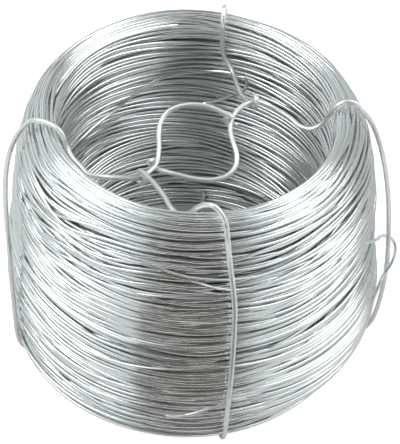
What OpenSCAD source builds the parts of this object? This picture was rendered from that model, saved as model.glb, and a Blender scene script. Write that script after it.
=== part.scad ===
// Coil of galvanized tie wire, standing on its end.
//
// One long soft steel wire is wound into a hollow coil. Four short lengths of thicker wire are bent
// round the winding like C clips. Their inner ends meet in the mouth of the bore, where the left and
// the right tie make one loop between them and every end hooks round another tie.
//
// Millimetres, +Z up. The origin is the centre of the standing end, on the floor: the coil stands on
// the undersides of its four ties.

/* [Winding] */
// Width over the outermost turns, at the widest place
coil_od = 100; // [88:1:130]
// Width of the bore between the innermost turns
bore_d = 70; // [52:1:76]
// Height of the winding from end to end
coil_h = 73.5; // [66:0.5:110]
// Thickness of the wire that is wound
wire_d = 0.9; // [0.6:0.05:1.4]
// Gap that shows between a turn and the next one
turn_gap = 0.06; // [0.02:0.02:0.3]

/* [Winding edges] */
// How far the upper end draws in from the widest turns
shoulder_in = 11.5; // [4:0.5:13]
// How far down the drawn-in shoulder reaches
shoulder_h = 47; // [10:1:50]
// How far the standing end draws in from the widest turns
foot_in = 2; // [1:0.5:10]
// How far up the drawn-in foot reaches
foot_h = 9; // [4:1:14]
// Rounding of the upper mouth of the bore
lip_r = 2.5; // [1.5:0.5:4]
// Rounding of the lower mouth of the bore
low_lip_r = 1.2; // [1:0.1:3]

/* [Ties] */
// Thickness of the wire that the ties are made of
tie_d = 1.3; // [1:0.1:1.6]
// Gap between a tie and the turns that it goes round
tie_gap = 0.3; // [0.1:0.05:0.6]
// How much further the sides of the front and the back tie bow away from the turns
tie_bow = 0.5; // [0:0.1:1]
// How much further the left tie bows away, under the upper end
left_bow = 1; // [0:0.1:2]
// How much further the right tie bows away, above the foot
right_bow = 3.6; // [3:0.1:4.5]
// Height that the cut end of a tie reaches inside the bore
stub_h = 11; // [8:0.5:20]
// Gap between two ties where one hooks round the other
hook_gap = 0.3; // [0.15:0.05:0.5]

/* [Tails] */
// Gap between a loose tail of the winding wire and what it lies against
tail_gap = 0.15; // [0.1:0.05:0.3]

/* [Hidden] */

winding_colour = [0.77, 0.79, 0.80];
tie_colour = [0.66, 0.69, 0.71];

wire_r = wire_d / 2;
tie_r = tie_d / 2;
bore_r = bore_d / 2;
stand = tie_d + tie_gap;               // height of the winding's lowest turns
top_z = stand + coil_h;                // height of the winding's highest turns
hook_r = tie_d + hook_gap;             // from the middle of one tie to the middle of its neighbour
wire_sides = 8;                        // flats round every wire
corner = 1 / cos(180 / wire_sides);    // a wire's corners stand this much further out than its flats

// Centres of the turns that show, as limits in radius and height.
turn_in = bore_r + wire_r;
turn_out = coil_od / 2 - wire_r;
turn_low = stand + wire_r;
turn_high = top_z - wire_r;
wall = turn_out - turn_in;
top_in = min(shoulder_in, wall - lip_r);
low_in = min(foot_in, wall - low_lip_r);

arc_steps = 14;                        // pieces in each rounded edge of the outline
side_steps = 5;                        // pieces in the straight side of a tie
ring_step = 2.6;                       // longest distance between two rings of a wire

// Way of a tie up the outer side: [azimuth below, azimuth at the upper end, height over which it
// leans from the one to the other, bow, place of the bow]. Azimuths are counter-clockwise from +X.
// A place of 1 puts the bow at middle height, more than 1 puts it higher.
front_way = [-76.4, -78.4, 22, tie_bow, 1];
left_way = [-154.8, -168.6, 36, left_bow, 4];
back_way = [84, 81.4, 20, tie_bow, 1];
right_way = [-11.5, 3.6, 38, right_bow, 0.55];
crest_in = 3;                          // width of the upper end that a tie's crest goes over

// Where one tie hooks round another: [x, y, height above the winding's upper end].
front_on_left = [-13, -13, -13];
right_on_left = [-9.5, -9.1, -12.1];
back_on_right = [15, 10.8, -6.7];
left_on_right = [9.1, 5, -8.6];

// ---------------------------------------------------------------- vectors and curves

function unit(v) = v / norm(v);

function lift(p) = [p[0], p[1], top_z + p[2]];

// A point at radius r, azimuth az and height h.
function polar(r, az, h) = [r * cos(az), r * sin(az), h];

// One rounded edge of the outline: a quarter of an ellipse, moved outwards by off.
function edge(centre, a, b, from, off) = [
    for (i = [0 : arc_steps])
        let (q = from + 90 * i / arc_steps, out = unit([b * cos(q), a * sin(q)]))
        centre + [a * cos(q), b * sin(q)] + off * out
];

// The four rounded edges of the winding's section, through the turns' centres when off is 0.
function low_lip(off) =
    edge([turn_in + low_lip_r, turn_low + low_lip_r], low_lip_r, low_lip_r, 180, off);
function foot(off) = edge([turn_out - low_in, turn_low + foot_h], low_in, foot_h, 270, off);
function shoulder(off) = edge([turn_out - top_in, turn_high - shoulder_h], top_in, shoulder_h, 0, off);
function high_lip(off) = edge([turn_in + lip_r, turn_high - lip_r], lip_r, lip_r, 90, off);

// Running length at each point of a path.
function lengths(p) = [
    for (i = 0, s = 0; i < len(p); s = s + (i + 1 < len(p) ? norm(p[i + 1] - p[i]) : 0), i = i + 1) s
];

// The point of path p at length s, where at holds the running lengths.
function along(p, at, s, i = 0) =
    i + 2 >= len(p) || at[i + 1] >= s
        ? p[i] + (p[i + 1] - p[i]) * (s - at[i]) / max(at[i + 1] - at[i], 0.000001)
        : along(p, at, s, i + 1);

// Path p without points that repeat the one before.
function distinct(p) = [for (i = [0 : len(p) - 1]) if (i == 0 || norm(p[i] - p[i - 1]) > 0.02) p[i]];

// Direction of a smooth curve through the points p at point i; the nearer neighbour counts more.
function heading(p, i) =
    i == 0 ? unit(p[1] - p[0])
    : i == len(p) - 1 ? unit(p[i] - p[i - 1])
    : let (a = p[i] - p[i - 1], b = p[i + 1] - p[i]) unit(a / (a * a) + b / (b * b));

// Smooth curve through the points p, with no two points further apart than step.
function smooth(p, step) = [
    for (i = [0 : len(p) - 2])
        let (size = norm(p[i + 1] - p[i]), n = ceil(size / step),
             d0 = size * heading(p, i), d1 = size * heading(p, i + 1))
        for (k = [0 : n - 1])
            let (t = k / n)
            (2 * t ^ 3 - 3 * t ^ 2 + 1) * p[i] + (t ^ 3 - 2 * t ^ 2 + t) * d0
            + (3 * t ^ 2 - 2 * t ^ 3) * p[i + 1] + (t ^ 3 - t ^ 2) * d1,
    p[len(p) - 1]
];

// Direction of the path p where it passes through the point q.
function heading_at(p, q) = heading(p, [for (i = [0 : len(p) - 1]) if (norm(p[i] - q) < 0.01) i][0]);

// A hook round a wire that passes through centre along axis. It starts on the side that start
// points to and goes on round by sweep degrees, right-handed about the axis.
function hook(centre, axis, start, sweep) =
    let (s = unit(start - (start * axis) * axis), a = cross(axis, s))
    [for (q = [0 : 30 : sweep]) centre + hook_r * (s * cos(q) + a * sin(q))];

// Wire along path p: rings carried along without twist, flat cut ends. The first ring has a flat
// on the side that side_dir points to.
module wire(p, r, side_dir) {
    last = len(p) - 1;
    t = [for (i = [0 : last]) heading(p, i)];
    across = [
        for (i = 0, n = unit(side_dir - (side_dir * t[0]) * t[0]); i <= last;
             i = i + 1, n = i <= last ? unit(n - (n * t[i]) * t[i]) : n) n
    ];
    rings = [
        for (i = [0 : last])
            for (k = [0 : wire_sides - 1])
                let (q = 360 * (k + 0.5) / wire_sides)
                p[i] + r * corner * (across[i] * cos(q) + cross(t[i], across[i]) * sin(q))
    ];
    polyhedron(
        points = rings,
        faces = concat(
            [[for (k = [0 : wire_sides - 1]) k]],
            [[for (k = [wire_sides - 1 : -1 : 0]) last * wire_sides + k]],
            [
                for (i = [0 : last - 1])
                    for (k = [0 : wire_sides - 1])
                        let (m = (k + 1) % wire_sides, a = i * wire_sides, b = a + wire_sides)
                        for (f = [[a + k, b + k, b + m], [a + k, b + m, a + m]]) f
            ]
        ),
        convexity = 10
    );
}

// ---------------------------------------------------------------- winding

// The turns' centres from the lower mouth of the bore, round the outside, to the upper mouth.
turn_path = distinct(concat(low_lip(0), foot(0), shoulder(0), high_lip(0)));
turn_at = lengths(turn_path);
turn_run = turn_at[len(turn_at) - 1];
turns = floor(turn_run / (wire_d + turn_gap));
turn_centres = [for (k = [0 : turns - 1]) along(turn_path, turn_at, (k + 0.5) * turn_run / turns)];

// Section of the winding: the packed wire inside the turns that show.
module section() {
    polygon(concat(turn_centres, [[bore_r, turn_high - lip_r], [bore_r, turn_low + low_lip_r]]));
    for (c = turn_centres) translate(c) circle(r = wire_r, $fn = wire_sides);
}

// The winding wire's inner end: out of the back wall of the bore, round and towards the middle.
inner_tail = [
    polar(bore_r + 1.4, 84.6, -16.9), polar(bore_r - 0.4, 79, -16.2), polar(bore_r - 1.2, 74, -15.9),
    polar(bore_r - 2.2, 70.5, -15.6), [12.4, 30.7, -15.4], [13.4, 28.6, -15.4], [13.1, 26.2, -15.5],
    [11.6, 23.9, -15.4], [9, 21.3, -14.5], [5.4, 17.2, -12.6], [1.7, 13.3, -10.6]
];

// Radius of the outermost turns at height z.
function skin_r(z) =
    let (up = max(0, (z - turn_high + shoulder_h) / shoulder_h),
         down = max(0, (turn_low + foot_h - z) / foot_h))
    wire_r + turn_out - top_in * (1 - sqrt(1 - up * up)) - low_in * (1 - sqrt(1 - down * down));

// A point that stands out from the outermost turns, at azimuth az and height h as for polar().
function on_skin(out, az, h) = polar(skin_r(top_z + h) + out, az, h);

// The winding wire's outer end: behind the right tie, round it and down past its front.
lay = tail_gap + wire_r * corner;
outer_tail = [
    on_skin(-1.4, -31, -21), on_skin(-0.7, -27, -23.6), on_skin(0.1, -23.4, -25.8),
    on_skin(lay + 0.2, -19.5, -28.2), on_skin(lay + 0.5, -15, -31), on_skin(lay + 1, -11, -33.2),
    on_skin(lay + 2.7, -8, -35.6), on_skin(lay + 4.3, -7.4, -37.2), on_skin(lay + 5.1, -8.2, -38.3),
    on_skin(lay + 5.3, -10, -39.6), on_skin(lay + 4.9, -12.2, -41.1), on_skin(lay + 3.9, -14.2, -42.9),
    on_skin(lay + 3.3, -15.3, -44.3), on_skin(lay + 2.9, -16.4, -46.6),
    on_skin(lay + 2.6, -17.3, -49.3), on_skin(lay + 2.2, -18, -52)
];

module tail(p) {
    wire(smooth([for (q = p) lift(q)], 2), wire_r, [0, 0, 1]);
}

module winding() {
    color(winding_colour) {
        rotate_extrude($fn = 180) section();
        tail(inner_tail);
        tail(outer_tail);
    }
}

// ---------------------------------------------------------------- ties

// The part of a tie that clips round the winding, from its cut end in the bore, under the foot and
// up the outside to its crest over the upper end.
function clip(way) =
    let (off = wire_r + tie_gap + tie_r,
         side_low = turn_low + foot_h,
         side_run = turn_high - shoulder_h - side_low,
         side = [for (k = [1 : side_steps - 1]) [turn_out + off, side_low + side_run * k / side_steps]],
         top = [for (p = shoulder(off)) if (p[0] > turn_out - top_in + crest_in) p],
         outer = [
             for (p = concat(foot(off), side, top))
                 let (u = max(0, min(1, (p[1] - turn_low) / (turn_high - turn_low))))
                 [p[0] + way[3] * sin(180 * u ^ way[4]), p[1]]
         ],
         section = concat([[turn_in - off, stub_h]], low_lip(off), outer))
    [
        for (i = [0 : len(section) - 1])
            let (p = section[i],
                 over = i > arc_steps + side_steps,
                 u = over ? max(0, min(1, (p[1] - turn_high + way[2]) / way[2])) : 0,
                 turned = (3 - 2 * u) * u * u)
            polar(p[0], way[0] + (way[1] - way[0]) * turned, p[1])
    ];

// A whole tie: its clip, then its free run through the points given and its hook.
module tie(way, free, hooked) {
    round_winding = distinct(clip(way));
    n = len(round_winding);
    free_path = [for (p = concat(free, hooked)) lift(p)];
    loose = smooth(concat([round_winding[n - 2], round_winding[n - 1]], free_path), ring_step);
    color(tie_colour)
        wire(concat([for (i = [0 : n - 2]) round_winding[i]], [for (i = [1 : len(loose) - 1]) loose[i]]),
             tie_r, [-sin(way[0]), cos(way[0]), 0]);
}

inner_r = bore_r - tie_gap - tie_r;    // middle of a tie that lies against the wall of the bore

// Free runs of the ties, from their crests into the mouth of the bore, to where their hooks start.
crest_r = turn_out - top_in;           // where the ties turn inwards over the upper end
mouth_r = turn_in + lip_r;             // where the upper end turns down into the bore
front_free = [
    polar(crest_r + 3.1, -78.7, 0.9), polar(crest_r + 1.4, -80, 2.8), polar(crest_r + 0.1, -82.6, 3.9),
    polar(mouth_r - 1.1, -84.6, 2.9), polar(mouth_r - 2.8, -87.4, 0.4), polar(inner_r - 0.25, -90.6, -3.2),
    polar(inner_r - 1, -94.2, -4.9), polar(inner_r - 2.9, -98, -5.4), [-6.4, -25.8, -6.6],
    [-9.9, -18.2, -8.9]
];
left_free = [
    polar(crest_r + 2.3, -167.4, 0.6), polar(crest_r + 0.1, -164.6, 1.5), polar(mouth_r - 1.1, -162.6, 1.7),
    polar(mouth_r - 2.5, -159.9, 1.3), polar(mouth_r - 3.3, -157.5, 0.2), polar(inner_r, -155.4, -2.8),
    polar(inner_r - 0.3, -151, -4), polar(inner_r - 1.1, -145.8, -4.8), [-25.1, -20.6, -5.4],
    [-22.3, -20.6, -5.8], [-17.8, -18.3, -8.2], [-15.2, -15.3, -11.2], front_on_left,
    [-11.2, -11.5, -12.7], right_on_left, [-9, -6.9, -11.5], [-8.9, -4, -10.7],
    [-9.2, -0.2, -9.7], [-8.9, 3, -8.5], [-7.4, 5.4, -7.3], [-4.4, 6.8, -6.2], [-1, 7.1, -5.6],
    [2.4, 6.8, -5.6], [5.6, 6.1, -6.2]
];
back_free = [
    polar(crest_r + 2, 81.3, 1.4), polar(crest_r, 81, 2.7), polar(mouth_r - 1.9, 80.5, 1.8),
    polar(mouth_r - 3.5, 80.1, -0.3), polar(inner_r, 79.8, -2.8), polar(inner_r, 79.6, -6.8),
    polar(inner_r - 0.7, 77.5, -11), [8.9, 30.9, -12.9], [10.8, 23.3, -12.7], [12.1, 18.6, -12],
    [13.7, 14.4, -10.4]
];
right_free = [
    polar(crest_r + 2.4, 4.1, 0.9), polar(crest_r + 0.4, 4.8, 1.5), polar(mouth_r - 1.5, 4.7, 1.1),
    polar(mouth_r - 3.2, 4.7, -0.5), polar(inner_r, 5.3, -3), polar(inner_r - 0.7, 5.9, -4.8),
    [32, 3.4, -6.8], [29.4, 3.3, -8.5], [27.2, 4.6, -9], [24.1, 8, -9], [19.4, 10.7, -8.2],
    back_on_right, [12, 9.2, -6.9], [10.1, 7.2, -7.8], left_on_right, [9, 2, -9.4], [9.9, -1.5, -10.3],
    [10.9, -5, -11.7], [10.6, -7.5, -13], [8.7, -9.6, -14], [5, -10.9, -14.5], [0, -10.9, -14.4],
    [-3.7, -10.3, -14], [-6.7, -9.6, -13.8]
];
up = [0, 0, 1];
hook_turn = 240;                       // how far round a hook goes, in degrees
short_turn = 180;                      // how far round the right tie's hook goes

module tie_front() {
    tie(front_way, front_free,
        hook(front_on_left, heading_at(left_free, front_on_left), up, hook_turn));
}

module tie_left() {
    tie(left_way, left_free,
        hook(left_on_right, heading_at(right_free, left_on_right), up, hook_turn));
}

module tie_back() {
    tie(back_way, back_free,
        hook(back_on_right, heading_at(right_free, back_on_right), -up, hook_turn));
}

module tie_right() {
    tie(right_way, right_free,
        hook(right_on_left, heading_at(left_free, right_on_left), -up, short_turn));
}

winding();
tie_front();
tie_left();
tie_back();
tie_right();
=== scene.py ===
"""Coil of galvanized tie wire: its wound turns, their two loose tails and the four wire ties.

Sizes are in millimetres and become metres where a mesh is made. The coil stands on the floor on
the undersides of its ties, with its axis on the Z axis.
"""

import logging
import math
from collections.abc import Callable
from dataclasses import dataclass
from enum import Enum

import bpy
import numpy as np
from mathutils import Matrix, Vector

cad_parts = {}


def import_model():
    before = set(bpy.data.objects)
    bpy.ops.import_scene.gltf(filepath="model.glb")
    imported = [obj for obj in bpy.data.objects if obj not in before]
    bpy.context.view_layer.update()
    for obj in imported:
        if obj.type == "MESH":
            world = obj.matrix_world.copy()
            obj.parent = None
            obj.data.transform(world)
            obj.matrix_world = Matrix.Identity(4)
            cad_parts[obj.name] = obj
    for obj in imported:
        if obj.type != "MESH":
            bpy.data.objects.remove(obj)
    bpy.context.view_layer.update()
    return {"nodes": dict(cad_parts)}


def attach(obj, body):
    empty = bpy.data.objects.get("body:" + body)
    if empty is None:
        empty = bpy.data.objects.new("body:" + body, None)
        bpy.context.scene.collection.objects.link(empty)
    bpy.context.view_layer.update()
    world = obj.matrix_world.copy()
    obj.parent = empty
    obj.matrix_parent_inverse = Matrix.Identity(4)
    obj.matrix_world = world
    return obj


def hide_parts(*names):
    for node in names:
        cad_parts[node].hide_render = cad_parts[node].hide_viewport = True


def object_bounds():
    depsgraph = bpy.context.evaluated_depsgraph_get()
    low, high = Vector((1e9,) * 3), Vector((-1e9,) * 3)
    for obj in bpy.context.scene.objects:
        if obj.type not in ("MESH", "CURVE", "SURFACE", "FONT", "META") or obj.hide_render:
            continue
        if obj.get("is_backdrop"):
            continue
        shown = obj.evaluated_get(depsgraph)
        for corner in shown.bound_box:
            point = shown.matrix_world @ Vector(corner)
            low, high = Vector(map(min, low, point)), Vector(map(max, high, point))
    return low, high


LOG = logging.getLogger("coil")
MM = 0.001
TURN = 2 * math.pi
CURVE_STEP = 0.8

Array = np.ndarray
Object = bpy.types.Object
Material = bpy.types.Material
Socket = bpy.types.NodeSocket
Pair = tuple[float, float]
Point = tuple[float, float, float]
Colour = tuple[float, float, float]


class Slot(Enum):
    """Material slots of the record."""

    WINDING = "zinc_wire"
    TIE = "tie_wire"


@dataclass
class CoilSizes:
    """Sizes of the coil, the same as the construction's. Heights of places are above the floor."""

    coil_od: float = 100.0
    bore_d: float = 70.0
    coil_h: float = 73.5
    wire_d: float = 0.9
    shoulder_in: float = 11.5
    shoulder_h: float = 47
    foot_in: float = 2
    foot_h: float = 9
    lip_r: float = 2.5
    low_lip_r: float = 1.2
    tie_d: float = 1.3
    tie_gap: float = 0.3
    tie_bow: float = 0.5
    left_bow: float = 1
    right_bow: float = 3.6
    crest_in: float = 3
    stub_h: float = 11.0
    hook_gap: float = 0.3
    tail_gap: float = 0.15
    corner: float = 1 / math.cos(math.pi / 8)

    def __post_init__(self) -> None:
        """Works out the radii, the winding's two ends and the limits of its turns' middles."""
        self.wire_r, self.tie_r, self.bore_r = self.wire_d / 2, self.tie_d / 2, self.bore_d / 2
        self.stand = self.tie_d + self.tie_gap
        self.top_z = self.stand + self.coil_h
        self.turn_in, self.turn_out = self.bore_r + self.wire_r, self.coil_od / 2 - self.wire_r
        self.turn_low, self.turn_high = self.stand + self.wire_r, self.top_z - self.wire_r

    def _set_back(self, radius: Array | float, inward: float, tall: float, lip_r: float) -> list[Array]:
        """How far an end of the winding lies back, by its outer edge and by its lip.

        Args:
            radius: radius of a turn's middle, one number or many.
            inward: how far that end draws in.
            tall: height over which it draws in.
            lip_r: rounding of the bore's mouth.

        Returns:
            The two distances.
        """
        r = np.clip(np.asarray(radius, float), self.turn_in, self.turn_out)
        edge = self.turn_out - inward
        over = np.clip((r - edge) / inward, 0, 1)
        lip = np.clip(self.turn_in + lip_r - r, 0, lip_r)
        return [tall * (1 - np.sqrt(1 - over**2)), lip_r - np.sqrt(lip_r**2 - lip**2)]

    def high_limit(self, radius: Array | float) -> Array:
        """Height of the highest turn's middle at a radius."""
        edge, lip = self._set_back(radius, self.shoulder_in, self.shoulder_h, self.lip_r)
        return self.turn_high - edge - lip

    def low_limit(self, radius: Array | float) -> Array:
        """Height of the lowest turn's middle at a radius."""
        edge, lip = self._set_back(radius, self.foot_in, self.foot_h, self.low_lip_r)
        return self.turn_low + edge + lip

    def skin_r(self, height: float) -> float:
        """Radius of the outermost turns' outside at a height.

        Args:
            height: the height.

        Returns:
            The radius.
        """
        up = max(0.0, (height - self.turn_high + self.shoulder_h) / self.shoulder_h)
        down = max(0.0, (self.turn_low + self.foot_h - height) / self.foot_h)
        shoulder = self.shoulder_in * (1 - math.sqrt(1 - up * up))
        return self.wire_r + self.turn_out - shoulder - self.foot_in * (1 - math.sqrt(1 - down * down))


# ---------------------------------------- laying the turns


@dataclass(frozen=True)
class Waist:
    """A place where the outer turns lie further in than the outline, deepest in its middle."""

    azimuth: float
    height: float
    wide: float
    tall: float
    depth: float

    def inward(self, azimuth: Array, height: Array) -> Array:
        """How far in the outermost turns lie at places round and up the winding."""
        turned = (azimuth - self.azimuth + 180) % 360 - 180
        return self.depth * np.exp(-((turned / self.wide) ** 2) - ((height - self.height) / self.tall) ** 2)


@dataclass
class Layup:
    """Lays the one wire of the winding, turn on turn, from the bore outwards.

    A map holds how far out the wire reaches at each azimuth and height. Each pass of a little
    more than a turn is laid where the traverse guides it, slides into the groove that it finds,
    and rests on what is under it, bridging the dips as a stiff wire under tension does.
    """

    sizes: CoilSizes
    seed: int = 23
    samples: int = 240
    overrun: int = 7
    cell: float = 0.1
    margin: float = 2.0
    slide: float = 0.6
    probe: float = 0.15
    settle_rounds: int = 6
    bridge_reach: int = 10
    give: float = 0.12
    sag: float = 0.35
    end_room: float = 6.0
    join_rate: float = 25
    radius_blur: float = 3.0
    height_blur: float = 6.0
    outline_rounds: int = 5
    waves: tuple[float, ...] = (1.7, 1.15, 0.8, 0.42, 0.22, 0.12)
    loose_layers: int = 3
    waists: tuple[Waist, ...] = (Waist(-170, 45, 42, 22, 1.8), Waist(160, 60, 24, 14, 1.5))
    max_passes: int = 1400

    def __post_init__(self) -> None:
        """Prepares the empty mandrel and the seeded random numbers."""
        s = self.sizes
        self.rng = np.random.default_rng(self.seed)
        self.z0 = s.stand - self.margin
        z = self.z0 + self.cell * np.arange(int((s.coil_h + 2 * self.margin) / self.cell) + 1)
        into_high = np.clip(z - (s.top_z - s.lip_r), 0, s.lip_r)
        into_low = np.clip(s.stand + s.low_lip_r - z, 0, s.low_lip_r)
        mandrel = s.bore_r + s.lip_r - np.sqrt(s.lip_r**2 - into_high**2)
        mandrel = mandrel + s.low_lip_r - np.sqrt(s.low_lip_r**2 - into_low**2)
        self.surface = np.tile(mandrel, (self.samples, 1))
        self.span = self.samples + self.overrun
        self.reach = np.arange(int(s.wire_d / self.cell) + 1)[None, :]
        self.rows = np.arange(self.span)[:, None]
        self.radius = self.height = np.zeros(0)

    def _cells(self, z: Array) -> tuple[Array, Array]:
        """Map cells under a wire, and the wire's half thickness over each.

        Args:
            z: height of the wire's middle along the pass.

        Returns:
            Column numbers and half thicknesses, one row for each place along the pass.
        """
        r = self.sizes.wire_r
        first = np.ceil((z - r - self.z0) / self.cell).astype(int)
        columns = np.clip(first[:, None] + self.reach, 0, self.surface.shape[1] - 1)
        away = self.z0 + columns * self.cell - z[:, None]
        return columns, np.sqrt(np.maximum(r * r - away**2, 0))

    def _rest(self, z: Array) -> Array:
        """Radius at which a wire at height z touches what is under it."""
        columns, half = self._cells(z)
        return (self.surface[self.rows, columns] + half).max(axis=1)

    @staticmethod
    def _blur(values: Array, width: float) -> Array:
        """Smooths values round the coil with a bell of that width, in samples."""
        k = np.fft.rfftfreq(len(values))
        return np.fft.irfft(np.fft.rfft(values) * np.exp(-2 * (math.pi * k * width) ** 2), len(values))

    def _bridge(self, r: Array) -> Array:
        """Lifts a wire over the dips that its tension and stiffness keep it out of.

        Args:
            r: radius at which it would touch all that is under it.

        Returns:
            The radius at which it lies.
        """
        lifted = r.copy()
        for j in range(1, self.bridge_reach + 1):
            drop = 0.8 * self.sizes.turn_out * (j * (TURN / self.samples)) ** 2
            lifted = np.maximum(lifted, np.maximum(np.roll(r, j), np.roll(r, -j)) - drop)
        broad = self._blur(lifted, 20)
        even = np.clip(0.5 * (broad.mean() - broad), -self.give, self.give)
        return self._blur(np.maximum(lifted, broad - self.sag), 1.6) + even

    def _settle(self, z: Array) -> Array:
        """Slides a wire sideways into the groove next to it.

        Args:
            z: height to which it is guided.

        Returns:
            The height at which it lies.
        """
        start = z.copy()
        for _ in range(self.settle_rounds):
            slope = (self._rest(z + self.probe) - self._rest(z - self.probe)) / (2 * self.probe)
            z = z - 0.22 * self._blur(np.clip(slope, -1, 1), 5.0)
            z = np.clip(z, start - self.slide, start + self.slide)
        return z

    def _mean_radius(self, z: float) -> float:
        """Mean radius of the surface round the coil at height z."""
        column = int(np.clip((z - self.z0) / self.cell, 0, self.surface.shape[1] - 1))
        return float(self.surface[::6, column].mean())

    def _free_place(self, z: float, way: int) -> float | None:
        """Finds the nearest height that way on where the winding hasn't its full outline yet.

        Args:
            z: height that the traverse guides the wire to.
            way: 1 where the traverse goes up, -1 where it goes down.

        Returns:
            The height, lowered into the nearest dip, or None where the layer is full that way.
        """
        s = self.sizes
        for skipped in np.arange(0, s.coil_h, 1.2):
            best, place = math.inf, None
            for shift in np.arange(-0.9, 1.6, 0.3):
                at = z + (skipped + shift) * way
                r = self._mean_radius(at) + 0.8 * s.wire_r
                inside = s.low_limit(r) <= at <= s.high_limit(r) and r <= s.turn_out - 0.1
                if inside and r + 0.25 * abs(shift) < best:
                    best, place = r + 0.25 * abs(shift), float(at)
            if place is not None:
                return place
        return None

    def _advance(self, layer: int) -> Pair:
        """Draws how far the traverse moves in a pass, and over which share of it.

        Args:
            layer: number of the layer, 0 on the mandrel.

        Returns:
            The advance and the share of the pass in which it happens.
        """
        kind = self.rng.random()
        if kind < 0.70:
            return float(self.rng.normal(1.8 if layer < self.loose_layers else 1.12, 0.10)), 1.0
        if kind < 0.88:
            return float(self.rng.uniform(1.7, 3.4)), float(self.rng.uniform(0.15, 0.5))
        return float(self.rng.uniform(-1.8, -0.5)), float(self.rng.uniform(0.2, 0.5))

    def _lay(self, path: Array) -> Array:
        """Lays one pass on the map.

        Args:
            path: height of the wire along the pass.

        Returns:
            Radius of the wire along the pass.
        """
        r = self._bridge(self._rest(path))
        columns, half = self._cells(path)
        np.maximum.at(self.surface, (self.rows, columns), r[:, None] + half)
        return r

    def run(self) -> None:
        """Lays turns until the winding has its full outline, and keeps their paths."""
        s = self.sizes
        run = np.linspace(0, 1, self.span, endpoint=False)
        blend, round_coil = run[:, None], TURN * np.arange(self.span) / self.samples
        order = np.arange(1, len(self.waves) + 1)
        phase, size = self.rng.uniform(0, TURN, len(order)), self.rng.normal(0, 1, len(order))
        at, way, layer, turned, begin = s.turn_low + s.low_lip_r, 1, 0, 0, 0
        radii, heights = [], []
        while len(radii) < self.max_passes and turned < 3:
            step, share = self._advance(layer)
            target = self._free_place(at + way * step, way)
            if target is None:
                way, layer, turned = -way, layer + 1, turned + 1
                continue
            turned, loose = 0, layer < self.loose_layers
            t = np.clip((run - self.rng.uniform(0, 1 - share)) / share, 0, 1)
            path = at + (target - at) * (t if share == 1 else t * t * (3 - 2 * t))
            drift, keep = (0.34, 0.8) if loose else (0.17, 0.93)
            new_phase = phase + self.rng.normal(0, drift, len(order))
            new_size = keep * size + self.rng.normal(0, math.sqrt(1 - keep * keep), len(order))
            angle = (round_coil + TURN * begin / self.samples)[:, None] * order
            waves = np.array(self.waves) / (1 if loose else order**0.4)
            swing = np.cos(angle + phase + (new_phase - phase) * blend)
            swing = (waves * (size + (new_size - size) * blend)) * swing
            r_here = self._mean_radius(target) + s.wire_r
            low, high = float(s.low_limit(r_here)), float(s.high_limit(r_here))
            room = np.clip(np.minimum(path - low, high - path) / self.end_room, 0.04, 1)
            path = np.clip(path + swing.sum(axis=1) * room, low, high)
            self.rows = ((begin + np.arange(self.span)) % self.samples)[:, None]
            path = np.clip(self._settle(path), low - 0.1, high + 0.1)
            if heights:
                path = path + (heights[-1][-1] - path[0]) * np.exp(-run * self.join_rate)
            radii.append(self._lay(path))
            heights.append(path)
            at, phase, size = target, new_phase, new_size
            begin = (begin + self.span) % self.samples
        turns = len(radii) * self.span // self.samples
        whole = slice(0, turns * self.samples)
        self.radius = self._blur(np.concatenate(radii), self.radius_blur)[whole].reshape(turns, -1)
        self.height = self._blur(np.concatenate(heights), self.height_blur)[whole].reshape(turns, -1)
        for _ in range(self.outline_rounds):
            self._fill_outline()
        azimuth = 360 * np.arange(self.samples)[None, :] / self.samples
        share = (self.radius - s.turn_in) / (s.turn_out - s.turn_in)
        for waist in self.waists:
            self.radius = self.radius - share**2 * waist.inward(azimuth, self.height)
        LOG.info("laid %d turns in %d layers, out to %.1f mm", turns, layer, self.radius.max())

    def _stretch(self, along: Array, across: Array, base: float, limit: Callable[[Array], Array]) -> Array:
        """Stretches one coordinate until the outermost turns reach the outline.

        Args:
            along: coordinate that sorts the turns into bins.
            across: coordinate to stretch, from base.
            base: value that stays where it is.
            limit: gives the outline's value at a place along.

        Returns:
            The new values.
        """
        cell, way = 1.5, 1 if limit(np.array([along.mean()]))[0] > base else -1
        part = way * (across - base) > 0
        column = np.floor((along - along.min()) / cell).astype(int)
        middles = along.min() + cell * (np.arange(column.max() + 1) + 0.5)
        reach = np.zeros(len(middles))
        for k in range(len(middles)):
            there = way * (across[part & (column == k)] - base)
            reach[k] = np.percentile(there, 98) if len(there) > 40 else np.nan
        good = np.isfinite(reach)
        ratio = np.clip((way * (limit(middles) - base))[good] / reach[good], 0.9, 1.25)
        ratio = np.convolve(np.pad(ratio, 1, "edge"), (0.25, 0.5, 0.25), "valid")
        factor = np.interp(along, middles[good], ratio)
        share = np.clip(way * (across - base) / np.interp(along, middles[good], reach[good]), 0, 1)
        return np.where(part, base + (across - base) * (1 + (factor - 1) * share), across)

    def _fill_outline(self) -> None:
        """Brings the outermost turns to the winding's outline, outwards, upwards and downwards."""
        s = self.sizes
        skin = np.vectorize(lambda z: s.skin_r(min(max(z, s.turn_low), s.turn_high)) - s.wire_r)
        self.radius = self._stretch(self.height, self.radius, s.turn_in - 1, skin)
        middle = (s.turn_low + s.turn_high) / 2
        for limit in (s.high_limit, s.low_limit):
            self.height = self._stretch(self.radius, self.height, middle, limit)

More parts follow.
